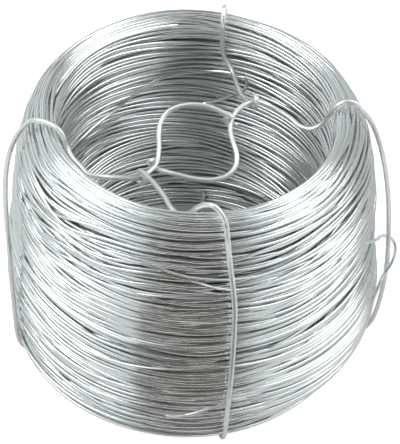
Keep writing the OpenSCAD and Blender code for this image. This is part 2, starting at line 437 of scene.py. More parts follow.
    def shown(self, depth: float) -> Array:
        """Finds where the wire shows, from outside, from the bore or from an end.

        Args:
            depth: how far under the outermost wire a stretch still counts as showing.

        Returns:
            One truth value for each turn and azimuth.
        """
        cell = 0.3
        radius, height = self.radius, self.height
        azimuth = np.broadcast_to(np.arange(self.samples), radius.shape)
        seen = np.zeros(radius.shape, bool)
        for across, out in ((height, radius), (height, -radius), (radius, height), (radius, -height)):
            column = np.round((across - across.min()) / cell).astype(int) + 1
            top = np.full((self.samples, column.max() + 2), -np.inf)
            for shift in (-1, 0, 1):
                np.maximum.at(top, (azimuth, column + shift), out)
            seen |= out > top[azimuth, column] - depth
        flat = seen.ravel()
        grown = flat.copy()
        for shift in range(1, 7):
            grown[shift:] |= flat[:-shift]
            grown[:-shift] |= flat[shift:]
        return grown.reshape(seen.shape)


# ---------------------------------------- meshes


def select_only(obj: Object) -> None:
    """Selects one object and makes it the active one.

    Args:
        obj: the object.
    """
    bpy.ops.object.select_all(action="DESELECT")
    obj.select_set(True)
    bpy.context.view_layer.objects.active = obj


def add_object(name: str, data: bpy.types.ID) -> Object:
    """Makes an object and links it to the scene.

    Args:
        name: name of the object.
        data: its mesh, curve, lamp or camera.

    Returns:
        The object.
    """
    obj = bpy.data.objects.new(name, data)
    bpy.context.collection.objects.link(obj)
    return obj


def close_up(merge: float, sharp: float) -> None:
    """Merges the active mesh's doubles, turns its faces outwards and shades it smooth.

    Args:
        merge: distance under which two vertices are one, in metres.
        sharp: angle from which an edge stays sharp, in degrees.
    """
    bpy.ops.object.mode_set(mode="EDIT")
    bpy.ops.mesh.select_all(action="SELECT")
    bpy.ops.mesh.remove_doubles(threshold=merge)
    bpy.ops.mesh.normals_make_consistent(inside=False)
    bpy.ops.object.mode_set(mode="OBJECT")
    bpy.ops.object.shade_smooth_by_angle(angle=math.radians(sharp))


def set_run(obj: Object, run: Array) -> None:
    """Stores length along the wire and place round it on each vertex, for the finishes."""
    layer = obj.data.attributes.new("run", "FLOAT_VECTOR", "POINT")
    layer.data.foreach_set("vector", np.ascontiguousarray(run, np.float32).ravel())


@dataclass
class Strands:
    """Many stretches of round wire that become one mesh, as rings joined in order.

    Every ring is a row of the arrays: its middle, a unit vector across the wire, a second one
    square to it, the length along the wire, and the number of the stretch it belongs to.
    """

    middle: Array
    across: Array
    upward: Array
    length: Array
    stretch: Array
    wire_r: float
    sides: int = 6

    def build(self, name: str) -> Object:
        """Makes the mesh.

        Args:
            name: name of the new object.

        Returns:
            The object, closed and smooth, with its place in its mesh.
        """
        count, sides = len(self.middle), self.sides
        angle = TURN * np.arange(sides) / sides
        cos, sin = np.cos(angle), np.sin(angle)
        rim = self.across[:, None, :] * cos[None, :, None] + self.upward[:, None, :] * sin[None, :, None]
        points = (self.middle[:, None, :] + self.wire_r * rim) * MM

        first = np.nonzero(self.stretch[1:] == self.stretch[:-1])[0]
        ring, near = first[:, None] * sides, np.arange(sides)[None, :]
        far = (near + 1) % sides
        quads = np.stack([ring + near, ring + sides + near, ring + sides + far, ring + far], axis=2)
        breaks = np.nonzero(np.diff(self.stretch))[0]
        starts, ends = np.concatenate([[0], breaks + 1]), np.concatenate([breaks, [count - 1]])
        caps = np.concatenate([starts[:, None] * sides + near, ends[:, None] * sides + near[:, ::-1]])
        corners = np.concatenate([quads.ravel(), caps.ravel()])
        walls = len(first) * sides
        face_start = np.concatenate([4 * np.arange(walls), quads.size + sides * np.arange(len(caps))])
        mesh = bpy.data.meshes.new(name)
        mesh.vertices.add(count * sides)
        mesh.vertices.foreach_set("co", points.astype(np.float32).ravel())
        mesh.loops.add(len(corners))
        mesh.loops.foreach_set("vertex_index", corners.astype(np.int32))
        mesh.polygons.add(len(face_start))
        mesh.polygons.foreach_set("loop_start", face_start.astype(np.int32))
        mesh.polygons.foreach_set("use_smooth", np.arange(len(face_start)) < walls)
        mesh.update(calc_edges=True)
        obj = add_object(name, mesh)
        place = np.broadcast_to(np.stack([cos, sin], axis=1), (count, sides, 2))
        along = np.broadcast_to(self.length[:, None, None], (count, sides, 1))
        set_run(obj, np.concatenate([along, place], axis=2).reshape(-1, 3))
        return obj


# ---------------------------------------- curves


def unit(v: Array) -> Array:
    """The vector of length 1 in the direction of v."""
    return v / np.linalg.norm(v)


def polar(radius: float, azimuth: float, height: float) -> Point:
    """A point at a radius, an azimuth in degrees and a height."""
    q = math.radians(azimuth)
    return radius * math.cos(q), radius * math.sin(q), height


def around(radius: float, *rows: Point) -> list[Point]:
    """Points from rows that hold how far out from a radius they lie, azimuth and height."""
    return [polar(radius + out, azimuth, height) for out, azimuth, height in rows]


def heading(points: Array, i: int) -> Array:
    """Direction of a smooth curve at one of its points; the nearer neighbour counts more.

    Args:
        points: the curve's points.
        i: number of the point.

    Returns:
        A vector of length 1.
    """
    if i == 0:
        return unit(points[1] - points[0])
    if i == len(points) - 1:
        return unit(points[i] - points[i - 1])
    a, b = points[i] - points[i - 1], points[i + 1] - points[i]
    return unit(a / (a @ a) + b / (b @ b))


def smooth_curve(points: Array, step: float) -> Array:
    """Runs a smooth curve through points.

    Args:
        points: the points, one row each.
        step: longest distance between two points of the curve.

    Returns:
        The curve's points, with the first and the last one kept.
    """
    curve = []
    for i in range(len(points) - 1):
        p0, p1 = points[i], points[i + 1]
        size = np.linalg.norm(p1 - p0)
        n = math.ceil(size / step)
        d0, d1 = size * heading(points, i), size * heading(points, i + 1)
        for t in np.arange(n) / n:
            near = (2 * t**3 - 3 * t**2 + 1) * p0 + (t**3 - 2 * t**2 + t) * d0
            curve.append(near + (3 * t**2 - 2 * t**3) * p1 + (t**3 - t**2) * d1)
    return np.array(curve + [points[-1]])


@dataclass
class BentWire:
    """One length of round wire along a path, with ends pinched flat by the cutters."""

    name: str
    path: Array
    wire_r: float
    roundness: int = 6
    pinched: tuple[bool, bool] = (True, True)
    pinch_length: float = 0.9
    pinch: float = 0.4

    def build(self) -> Object:
        """Bevels a curve round the path and makes it a mesh.

        Returns:
            The closed mesh object.
        """
        path = self._with_end_rings()
        curve = bpy.data.curves.new(self.name, "CURVE")
        curve.dimensions = "3D"
        curve.bevel_depth = self.wire_r * MM
        curve.bevel_resolution = self.roundness
        curve.use_fill_caps = True
        spline = curve.splines.new("POLY")
        spline.points.add(len(path) - 1)
        spline.points.foreach_set("co", np.column_stack([path * MM, np.ones(len(path))]).ravel())
        select_only(add_object(self.name, curve))
        bpy.ops.object.convert(target="MESH")
        obj = bpy.context.view_layer.objects.active
        close_up(1e-7, 50)
        self._shape(obj, path)
        return obj

    def _with_end_rings(self) -> Array:
        """The path with extra points near both ends, for the pinched tips.

        Returns:
            The points.
        """
        path, length = self.path, self.pinch_length
        start, end = unit(path[1] - path[0]), unit(path[-2] - path[-1])
        tip = [0.12 * length, 0.45 * length, length]
        head = [path[0]] + [path[0] + start * t for t in tip]
        tail = [path[-1] + end * t for t in tip[::-1]] + [path[-1]]
        inner = path[1:-1]
        for place, way in ((path[0], start), (path[-1], end)):
            out = inner - place
            inner = inner[(out @ way > 1.2 * length) | (np.linalg.norm(out, axis=1) > 3 * length)]
        return np.array(head + list(inner) + tail)

    def _shape(self, obj: Object, path: Array) -> None:
        """Pinches the tips, and stores length along the wire and place round it.

        Args:
            obj: the mesh object.
            path: points along the middle of the wire.
        """
        places = np.empty(len(obj.data.vertices) * 3, np.float32)
        obj.data.vertices.foreach_get("co", places)
        places = places.reshape(-1, 3) / MM
        at = np.concatenate([[0], np.cumsum(np.linalg.norm(np.diff(path, axis=0), axis=1))])
        nearest = np.argmin(((places[:, None, :] - path[None, :, :]) ** 2).sum(axis=2), axis=1)
        tangent = np.array([heading(path, i) for i in range(len(path))])
        across = np.empty_like(path)
        across[0] = unit(np.cross(tangent[0], (0.3, 0.2, 1)))
        for i in range(1, len(path)):
            across[i] = unit(across[i - 1] - (across[i - 1] @ tangent[i]) * tangent[i])
        square = np.cross(tangent, across)
        out = places - path[nearest]
        x, y = (out * across[nearest]).sum(axis=1), (out * square[nearest]).sum(axis=1)
        set_run(obj, np.stack([at[nearest], x / self.wire_r, y / self.wire_r], axis=1))
        for wanted, gone in zip(self.pinched, (at[nearest], at[-1] - at[nearest])):
            if wanted:
                share = np.clip(1 - gone / self.pinch_length, 0, 1) ** 2
                places -= (share * (1 - self.pinch) * x)[:, None] * across[nearest]
        obj.data.vertices.foreach_set("co", (places * MM).astype(np.float32).ravel())
        obj.data.update()


# ---------------------------------------- winding


@dataclass
class Winding:
    """The wound wire: the turns that show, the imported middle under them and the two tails.

    A loose stretch is given by the places that it passes, with heights counted from the winding's
    upper end. The belly's rows hold a height above the floor and how far out it reaches there.
    """

    sizes: CoilSizes
    layup: Layup
    pieces: int = 5
    # the innermost pieces get a paler copy of the zinc: painted light that brightens the bore
    brightened_pieces: int = 2
    every: int = 2
    depth: float = 2.1
    shortest: int = 8
    sides: int = 6
    core_under: float = 1.2
    core_in: float = 1.6
    core_short: float = 2.2
    core_levels: int = 40
    core_steps: int = 120
    foot_rounds: int = 4
    belly_seed: int = 5
    belly_start: float = -74
    belly_end: float = 52
    belly_heights: Point = (7.2, 31.5, 1.15)
    belly: tuple[Pair, ...] = (
        (6, 1.2), (9, 2.4), (12, 3.0), (15, 3.2), (19, 3.2), (21.5, 2.8), (24, 2.1), (28, 1.5), (32, 0.7),
    )

    def build(self, coat: Material, bore_brightened: Material, shade: Material) -> list[Object]:
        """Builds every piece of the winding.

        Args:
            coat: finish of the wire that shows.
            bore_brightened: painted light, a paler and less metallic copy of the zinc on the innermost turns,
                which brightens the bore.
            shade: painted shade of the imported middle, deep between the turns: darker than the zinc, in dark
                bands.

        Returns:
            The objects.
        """
        turns = self.build_turns()
        core = self.build_core()
        tails = [self.build_tail(name, points) for name, points in self.loose().items()]
        tails.append(self.build_belly())
        for obj in turns + tails:
            # painted light: the innermost pieces take the paler, partly matt copy of the zinc, so that the
            # bore looks brighter
            obj.data.materials.append(bore_brightened if obj in turns[: self.brightened_pieces] else coat)
        # painted shade: the middle takes the dark banded material that stands for the shade deep between the
        # turns
        core.data.materials.append(shade)
        for obj in turns + tails + [core]:
            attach(obj, "root")
        for obj in turns + [core]:
            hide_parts("winding")
        return turns + tails + [core]

    def build_turns(self) -> list[Object]:
        """Makes the stretches of the turns that show, a piece for each run of layers.

        Returns:
            The pieces, from the innermost layers to the outermost.
        """
        lay, s = self.layup, self.sizes
        seen = lay.shown(self.depth)
        whole = seen.size // self.every
        seen = seen.ravel()[: whole * self.every].reshape(whole, self.every).any(axis=1)
        radius, height = (turns.ravel()[:: self.every][:whole] for turns in (lay.radius, lay.height))
        radius = np.minimum(radius, self._outline(height))
        step = TURN * self.every / lay.samples
        azimuth = step * np.arange(whole)
        length = np.cumsum(radius * step)
        flag = np.diff(np.concatenate([[0], seen.astype(int), [0]]))
        begins, stops = np.nonzero(flag == 1)[0], np.nonzero(flag == -1)[0]
        long_enough = stops - begins > self.shortest
        begins, stops = begins[long_enough], stops[long_enough]
        rings = np.concatenate([np.arange(a, b) for a, b in zip(begins, stops)])
        stretch = np.repeat(np.arange(len(begins)), stops - begins)
        out = np.stack([np.cos(azimuth), np.sin(azimuth), np.zeros(whole)], axis=1)
        middle = np.column_stack([out[:, :2] * radius[:, None], height])
        up = np.broadcast_to([0.0, 0.0, 1.0], out.shape)
        LOG.info("%d stretches of the turns show, in %d rings", len(begins), len(rings))
        objects = []
        share = np.linspace(0, len(rings), self.pieces + 1)[1:-1]
        groups = np.split(np.arange(len(begins)), np.searchsorted(np.cumsum(stops - begins), share))
        for i, group in enumerate(groups):
            mine = np.isin(stretch, group)
            k = rings[mine]
            strands = Strands(middle[k], out[k], up[k], length[k], stretch[mine], s.wire_r, self.sides)
            objects.append(strands.build(f"turns_{i + 1}"))
        return objects

    def _outline(self, height: Array) -> Array:
        """Radius of the outermost turns' middle at each height."""
        levels = np.linspace(self.sizes.turn_low, self.sizes.turn_high, 200)
        return np.interp(height, levels, np.array([self.sizes.skin_r(z) for z in levels]) - self.sizes.wire_r)

    def build_core(self) -> Object:
        """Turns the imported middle, which closes the gaps deep between the turns.

        Returns:
            The object.
        """
        s, lay = self.sizes, self.layup
        z = lay.z0 + lay.cell * np.arange(lay.surface.shape[1])
        levels = np.linspace(s.stand + self.core_short, s.top_z - self.core_short, self.core_levels)
        reach = np.percentile(lay.surface, 2, axis=0)
        outer = np.array([reach[np.abs(z - level) < 1.5].min() for level in levels]) - self.core_under
        inner = s.bore_r + self.core_in
        profile = list(zip(np.clip(outer, inner + 1.0, None), levels))
        profile += [(inner, levels[-1] - 0.5), (inner, levels[0] + 0.5)]
        edges = [(i, (i + 1) % len(profile)) for i in range(len(profile))]
        mesh = bpy.data.meshes.new("packed_middle")
        mesh.from_pydata([(r * MM, 0, level * MM) for r, level in profile], edges, [])
        core = add_object("packed_middle", mesh)
        select_only(core)
        screw = core.modifiers.new("turned", "SCREW")
        screw.steps = screw.render_steps = self.core_steps
        screw.use_merge_vertices = True
        bpy.ops.object.modifier_apply(modifier="turned")
        close_up(1e-6, 40)
        return core

    def build_tail(self, name: str, points: list[Point]) -> Object:
        """Bends one loose stretch of the winding's wire through its places."""
        path = smooth_curve(np.array(points) + [0, 0, self.sizes.top_z], CURVE_STEP)
        return BentWire(name, path, self.sizes.wire_r, pinched=(False, True)).build()

    def build_belly(self) -> Object:
        """Lays the slack outer turns that belly out to the right tie, joined as one object.

        Returns:
            The object.
        """
        s = self.sizes
        rng = np.random.default_rng(self.belly_seed)
        levels, reaches = zip(*self.belly)
        turns = []
        for i, z in enumerate(np.arange(*self.belly_heights)):
            reach = float(np.interp(z, levels, reaches))
            begin, end = self.belly_start + rng.uniform(-9, 9), self.belly_end + rng.uniform(-8, 8)
            tilt, lift = rng.uniform(-1.3, 1.3), rng.uniform(-0.25, 0.1)
            places = []
            for t in np.linspace(0, 1, 25):
                height = float(z) + tilt * (t - 0.5) * 2 - s.top_z
                out = reach * math.sin(math.pi * t) ** 1.6 + lift - 1.2 * abs(2 * t - 1) ** 8
                radius = s.skin_r(s.top_z + height) - s.wire_r + out
                places.append(polar(radius, begin + (end - begin) * t, height))
            turns.append(self.build_tail(f"belly_turn_{i + 1}", places))
        select_only(turns[0])
        for turn in turns:
            turn.select_set(True)
        bpy.ops.object.join()
        turns[0].name = "belly_turns"
        return turns[0]

    def loose(self) -> dict[str, list[Point]]:
        """The two tails, and the turns of which a stretch lies slack or proud.

        Returns:
            For each name the places that it passes.
        """
        s = self.sizes
        # slack along the far wall of the bore, then free towards the middle, by x, y and height
        inner_tail = around(
            s.bore_r,
            (1, 170, -26), (-0.4, 163, -26.3), (-0.9, 155, -26.6), (-1.1, 143, -26.3), (-1.2, 131, -25),
            (-1.2, 119, -21.8), (-1.1, 107, -18.6), (-1, 99, -17.8), (-0.8, 91, -17.4), (-0.6, 84.6, -16.9),
            (-0.7, 79, -16.3), (-1.2, 74, -15.9), (-2.2, 70.5, -15.6),
        )
        inner_tail += [
            (12.4, 30.7, -15.4), (13.4, 28.6, -15.4), (13.1, 26.2, -15.5), (11.6, 23.9, -15.4),
            (9, 21.3, -14.5), (5.4, 17.2, -12.6), (1.7, 13.3, -10.6),
        ]
        # behind the right tie, over it and down past its front; rows count from the turns' outside
        lay = s.tail_gap + s.wire_r * s.corner
        under = [(-2.6, -27, -24.5), (-2.0, -24, -26.2), (-1.2, -21.3, -27.8), (-0.1, -18.6, -29.3)]
        over = (
            (0.5, -15, -31), (1, -11, -33.2), (2.7, -8, -35.6), (4.3, -7.4, -37.2), (5.1, -8.2, -38.3),
            (5.3, -10, -39.6), (4.9, -12.2, -41.1), (3.9, -14.2, -42.9), (3.3, -15.3, -44.3),
            (2.9, -16.4, -46.6), (2.6, -17.3, -49.3), (2.2, -18, -52),
        )
        outer_tail = under + [(lay + out, az, h) for out, az, h in over]
        # loose on the back of the upper end: radius, azimuth, height over the highest turns there
        rim_turn = (
            (42.6, 52, -0.9), (42.4, 64, -0.1), (42.0, 76, 0.5), (41.8, 90, 0.8), (41.8, 104, 0.95),
            (42.2, 118, 0.9), (42.9, 132, 0.6), (43.4, 146, 0.0), (43.6, 158, -0.9),
        )
        return {
            "inner_tail": inner_tail,
            "outer_tail": [polar(s.skin_r(s.top_z + h) + out, az, h) for out, az, h in outer_tail],
            # standing off the left side
            "slack_turn": around(
                s.turn_out,
                (-1.2, -126, -51), (-0.2, -140, -52.4), (0, -153, -53), (0.3, -162, -53.2),
                (0.4, -169, -53.2), (0, -176, -53), (-0.3, -184, -52.6), (-0.9, -194, -52),
                (-1.9, -204, -51.5),
            ),
            # crossing its neighbours, low on the front
            "proud_turn": around(
                s.turn_out,
                (-1.3, -98, -64.4), (-0.2, -92.5, -63), (0.15, -88.5, -61.7), (0.15, -85, -60.4),
                (-0.2, -81.5, -59.2), (-1.3, -76, -57.8),
            ),
            "foot_turns": self.foot_turns(),
            "rim_turn": [polar(r, az, float(s.high_limit(r)) + up - s.top_z) for r, az, up in rim_turn],
            # in the groove under the far lip of the bore
            "lip_turn": around(
                s.turn_in,
                (1.2, 82, -3.3), (0.4, 90, -2.9), (0.1, 99, -2.6), (0.05, 112, -2.5), (0.05, 126, -2.35),
                (0.05, 140, -2.25), (0.1, 152, -2.3), (0.4, 162, -2.6), (1.2, 172, -3.1),
            ),
        }

    def foot_turns(self) -> list[Point]:
        """The lowest outer turns, which lie side by side round the foot.

        Returns:
            The places that they pass.
        """
        s = self.sizes
        places = []
        for i, r in enumerate(np.linspace(s.turn_out - 3.1, s.turn_out - 0.25, 36 * self.foot_rounds + 1)):
            azimuth = 10.0 * i - 100
            rise = 0.16 + 0.14 * math.sin(0.37 * i) * math.sin(0.05 * i)
            spread = 0.9 * max(0.0, math.cos(math.radians(azimuth + 128))) ** 1.5
            places.append(polar(float(r) + spread, azimuth, float(s.low_limit(r)) + rise - s.top_z))
        return places


# ---------------------------------------- ties


@dataclass(frozen=True)
class Hook:
    """Where a tie's end goes round another tie.

    Args:
        tie: name of the tie that it goes round.
        place: the point on that tie, with its height above the winding's upper end.
        from_above: whether it starts over that tie or under it.
        turn: how far round that tie it goes, in degrees.
    """

    tie: str
    place: Point
    from_above: bool
    turn: int = 240


@dataclass(frozen=True)
class TieRoute:
    """The way of one tie: round the winding, then free across the bore to its hook.

    Args:
        name: name of the tie.
        side_az: azimuth under the winding and low on its outer side.
        over_az: azimuth at the upper end.
        lean_h: height over which it leans from the one to the other.
        bow: how far its side bows away from the turns.
        bow_place: 1 puts the bow at middle height, more puts it higher.
        free: points from its crest to where its hook starts.
        hook: its hook.
    """

    name: str
    side_az: float
    over_az: float
    lean_h: float
    bow: float
    bow_place: float
    free: list[Point]
    hook: Hook


@dataclass
class Ties:
    """The four ties, like C clips, whose inner ends hook together over the bore."""

    sizes: CoilSizes
    arc_steps: int = 40
    side_steps: int = 24
    stub_steps: int = 14
    hook_step: int = 30
    closest: float = 0.02

    def routes(self) -> list[TieRoute]:
        """The four routes, from the same points as the construction's.

        Returns:
            The routes, in the order in which the ties are bent.
        """
        s = self.sizes
        inner, crest = s.bore_r - s.tie_gap - s.tie_r, s.turn_out - s.shoulder_in
        front_on_left, right_on_left = (-13, -13, -13), (-9.5, -9.1, -12.1)
        back_on_right, left_on_right = (15, 10.8, -6.7), (9.1, 5, -8.6)
        front = around(crest, (3.1, -78.7, 0.9), (1.4, -80, 2.8), (0.1, -82.6, 3.9), (-1.2, -84.6, 2.9))
        front += around(crest, (-2.9, -87.4, 0.4))
        front += around(inner, (-0.25, -90.6, -3.2), (-1, -94.2, -4.9), (-2.9, -98, -5.4))
        front += [(-6.4, -25.8, -6.6), (-9.9, -18.2, -8.9)]
        left = around(crest, (2.3, -167.4, 0.6), (0.1, -164.6, 1.5), (-1.2, -162.6, 1.7), (-2.6, -159.9, 1.3))
        left += around(crest, (-3.4, -157.5, 0.2))
        left += around(inner, (0, -155.4, -2.8), (-0.3, -151, -4), (-1.1, -145.8, -4.8))
        left += [
            (-25.1, -20.6, -5.4), (-22.3, -20.6, -5.8), (-17.8, -18.3, -8.2), (-15.2, -15.3, -11.2),
            front_on_left, (-11.2, -11.5, -12.7), right_on_left, (-9, -6.9, -11.5), (-8.9, -4, -10.7),
            (-9.2, -0.2, -9.7), (-8.9, 3, -8.5), (-7.4, 5.4, -7.3), (-4.4, 6.8, -6.2), (-1, 7.1, -5.6),
            (2.4, 6.8, -5.6), (5.6, 6.1, -6.2),
        ]
        back = around(crest, (2, 81.3, 1.4), (0, 81, 2.7), (-2, 80.5, 1.8), (-3.6, 80.1, -0.3))
        back += around(inner, (0, 79.8, -2.8), (0, 79.6, -6.8), (-0.7, 77.5, -11))
        back += [(8.9, 30.9, -12.9), (10.8, 23.3, -12.7), (12.1, 18.6, -12), (13.7, 14.4, -10.4)]
        right = around(crest, (2.4, 4.1, 0.9), (0.4, 4.8, 1.5), (-1.6, 4.7, 1.1), (-3.3, 4.7, -0.5))
        right += around(inner, (0, 5.3, -3), (-0.7, 5.9, -4.8))
        right += [
            (32, 3.4, -6.8), (29.4, 3.3, -8.5), (27.2, 4.6, -9), (24.1, 8, -9), (19.4, 10.7, -8.2),
            back_on_right, (12, 9.2, -6.9), (10.1, 7.2, -7.8), left_on_right, (9, 2, -9.4),
            (9.9, -1.5, -10.3), (10.9, -5, -11.7), (10.6, -7.5, -13), (8.7, -9.6, -14), (5, -10.9, -14.5),
            (0, -10.9, -14.4), (-3.7, -10.3, -14), (-6.7, -9.6, -13.8),
        ]
        ways = (
            ("tie_front", -76.4, -78.4, 22, s.tie_bow, 1, front),
            ("tie_left", -154.8, -168.6, 36, s.left_bow, 4, left),
            ("tie_back", 84, 81.4, 20, s.tie_bow, 1, back),
            ("tie_right", -11.5, 3.6, 38, s.right_bow, 0.55, right),
        )
        hooks = (
            Hook("tie_left", front_on_left, True),
            Hook("tie_right", left_on_right, True),
            Hook("tie_right", back_on_right, False),
            Hook("tie_left", right_on_left, False, 180),
        )
        return [TieRoute(*way, hook) for way, hook in zip(ways, hooks)]

    def build(self, coat: Material) -> list[Object]:
        """Bends the four ties.

        Args:
            coat: finish of their wire.

        Returns:
            The objects.
        """
        routes = {route.name: route for route in self.routes()}
        objects = []
        for route in routes.values():
            hooked = self._hook(route.hook, routes[route.hook.tie])
            obj = BentWire(f"{route.name}_wire", self._path(route, hooked), self.sizes.tie_r).build()
            obj.data.materials.append(coat)
            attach(obj, "root")
            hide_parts(route.name)
            objects.append(obj)
        return objects

    def _hook(self, hook: Hook, held: TieRoute) -> list[Array]:
        """Points of a hook round another tie.

        Args:
            hook: the hook.
            held: route of the tie that it goes round.

        Returns:
            The points, with heights above the winding's upper end.
        """
        line = np.array(held.free, float)
        axis = heading(line, int(np.argmin(np.linalg.norm(line - hook.place, axis=1))))
        start = np.array([0, 0, 1.0 if hook.from_above else -1.0])
        start = unit(start - (start @ axis) * axis)
        side = np.cross(axis, start)
        centre, reach = np.array(hook.place, float), self.sizes.tie_d + self.sizes.hook_gap
        turned = [math.radians(q) for q in range(0, hook.turn + 1, self.hook_step)]
        return [centre + reach * (start * math.cos(q) + side * math.sin(q)) for q in turned]

    def _edge(self, centre: Pair, half: Pair, start: float, off: float) -> list[Pair]:
        """One rounded edge of the winding's outline, moved outwards.

        Args:
            centre: radius and height of the ellipse's middle.
            half: half width and half height of the ellipse.
            start: angle at which the quarter begins, in degrees.
            off: distance outwards.

        Returns:
            Radius and height of its points.
        """
        a, b = half
        points = []
        for q in np.radians(start + 90 * np.arange(self.arc_steps + 1) / self.arc_steps):
            out = unit(np.array([b * math.cos(q), a * math.sin(q)]))
            r, z = centre[0] + a * math.cos(q), centre[1] + b * math.sin(q)
            points.append((r + off * out[0], z + off * out[1]))
        return points

    def _section(self, route: TieRoute) -> list[Pair]:
        """Outline that a tie follows round the winding.

        Args:
            route: its route.

        Returns:
            Radius and height of its points, from the cut end in the bore to its crest.
        """
        s = self.sizes
        off = s.wire_r + s.tie_gap + s.tie_r
        lip = s.low_lip_r
        side_low, side_high = s.turn_low + s.foot_h, s.turn_high - s.shoulder_h
        low_lip = self._edge((s.turn_in + lip, s.turn_low + lip), (lip, lip), 180, off)
        foot = self._edge((s.turn_out - s.foot_in, side_low), (s.foot_in, s.foot_h), 270, off)
        edge = s.turn_out - s.shoulder_in
        shoulder = self._edge((edge, side_high), (s.shoulder_in, s.shoulder_h), 0, off)
        side = [(s.turn_out + off, z) for z in np.linspace(side_low, side_high, self.side_steps + 1)[1:-1]]
        outer = []
        for r, z in foot + side + [p for p in shoulder if p[0] > edge + s.crest_in]:
            u = min(max((z - s.turn_low) / (s.turn_high - s.turn_low), 0), 1)
            outer.append((r + route.bow * math.sin(math.pi * u**route.bow_place), z))
        return [(s.turn_in - off, s.stub_h)] + low_lip + outer

    def _path(self, route: TieRoute, hooked: list[Array]) -> Array:
        """The whole way of a tie.

        Args:
            route: its route.
            hooked: the points of its hook.

        Returns:
            Points along the middle of its wire.
        """
        s = self.sizes
        over = 2 + self.arc_steps + self.arc_steps // 2 + self.side_steps
        kept = []
        for i, (r, z) in enumerate(self._section(route)):
            u = min(max((z - s.turn_high + route.lean_h) / route.lean_h, 0), 1) if i > over else 0
            turned = (3 - 2 * u) * u * u
            point = np.array(polar(r, route.side_az + (route.over_az - route.side_az) * turned, z))
            if not kept or np.linalg.norm(point - kept[-1]) > self.closest:
                kept.append(point)
        free = [np.array(point, float) + [0, 0, s.top_z] for point in route.free + hooked]
        loose = smooth_curve(np.array(kept[-2:] + free), CURVE_STEP)
        straight = np.linspace(kept[0], kept[1], self.stub_steps)[:-1]
        return np.concatenate([straight, kept[1:-1], loose[1:]])


# ---------------------------------------- finishes


@dataclass
class Nodes:
    """Adds and joins the nodes of one tree."""

    tree: bpy.types.NodeTree

    @classmethod
    def bare(cls, block: Material | bpy.types.World) -> "Nodes":
        """Takes every node from a new material or world.

        Args:
            block: the material or the world.

        Returns:
            What fills its tree.
        """
        block.use_nodes = True
        block.node_tree.nodes.clear()
        return cls(block.node_tree)

    def add(self, kind: str, **inputs: object) -> bpy.types.Node:
        """Adds a node.

        Args:
            kind: type name of the node; the words ShaderNode are left out.
            inputs: a value, or the output socket to join, for each named input.

        Returns:
            The new node.
        """
        node = self.tree.nodes.new(kind if kind.startswith("NodeGroup") else f"ShaderNode{kind}")
        for name, value in inputs.items():
            self.put(node.inputs[name.replace("_", " ")], value)
        return node

    def put(self, socket: Socket, value: object) -> None:
        """Gives an input its value, or joins an output to it.

        Args:
            socket: the input.
            value: a value or an output.
        """
        if isinstance(value, Socket):
            self.tree.links.new(value, socket)
        else:
            socket.default_value = value

    def math(self, operation: str, *values: object) -> Socket:
        """Adds a Math node.

        Args:
            operation: what it does.
            values: its inputs.

        Returns:
            The output.
        """
        node = self.add("Math")
        node.operation = operation
        for socket, value in zip(node.inputs, values):
            self.put(socket, value)
        return node.outputs[0]

    def times(self, a: object, b: object) -> Socket:
        """Multiplies two numbers and returns the output."""
        return self.math("MULTIPLY", a, b)

    def scaled(self, vector: Socket, by: Colour) -> Socket:
        """Multiplies a vector, part by part.

        Args:
            vector: the vector.
            by: what each part is multiplied by.

        Returns:
            The output.
        """
        node = self.add("VectorMath")
        node.operation = "MULTIPLY"
        self.put(node.inputs[0], vector)
        node.inputs[1].default_value = by
        return node.outputs[0]

    def between(self, value: Socket, low: float, high: float) -> Socket:
        """Turns a range into 0 to 1, smoothly.

        Args:
            value: the value in that range.
            low: what becomes 0.
            high: what becomes 1.

        Returns:
            The output.
        """
        node = self.add("MapRange", Value=value, From_Min=low, From_Max=high)
        node.interpolation_type = "SMOOTHSTEP"
        return node.outputs["Result"]

    def mix(self, factor: object, a: object, b: object) -> Socket:
        """Mixes two colours.

        Args:
            factor: share of the second.
            a: the first.
            b: the second.

        Returns:
            The output.
        """
        node = self.add("Mix")
        node.data_type = "RGBA"
        for name, value in (("Factor", factor), ("A", a), ("B", b)):
            self.put(node.inputs[name], value)
        return node.outputs["Result"]

    def finish(self, **inputs: object) -> None:
        """Adds the shader with its inputs and joins it to the material's output."""
        shader = self.add("BsdfPrincipled", **inputs)
        self.add("OutputMaterial", Surface=shader.outputs["BSDF"]).is_active_output = True


def zinc_skin() -> bpy.types.NodeTree:
    """Builds the shared pattern of a zinc coat on drawn wire.

    It reads the wire's own place, which is the length along it and the place round it.

    Returns:
        The group, with the outputs Mottle, Streak, Dull and Relief.
    """
    group = bpy.data.node_groups.new("zinc_skin", "ShaderNodeTree")
    group.interface.new_socket("Run", in_out="INPUT", socket_type="NodeSocketVector")
    n = Nodes(group)
    run = n.add("NodeGroupInput").outputs["Run"]
    mottle, streak, slow, fine = (
        n.add("TexNoise", Vector=n.scaled(run, by), Scale=1.0, Detail=detail, Roughness=rough).outputs["Fac"]
        for by, detail, rough in (
            ((0.45, 0.7, 0.7), 4.0, 0.62),
            ((0.06, 4.0, 4.0), 3.0, 0.6),
            ((0.011, 0.1, 0.1), 3.0, 0.6),
            ((2.6, 2.0, 2.0), 3.0, 0.6),
        )
    )
    lines = n.math("ADD", n.times(streak, 0.3), n.times(fine, 0.15))
    shown = {
        "Mottle": n.between(mottle, 0.3, 0.7),
        "Streak": streak,
        "Dull": n.between(slow, 0.46, 0.66),
        "Relief": n.math("ADD", n.times(mottle, 0.55), lines),
    }
    for name in shown:
        group.interface.new_socket(name, in_out="OUTPUT", socket_type="NodeSocketFloat")
    n.add("NodeGroupOutput", **shown)
    return group


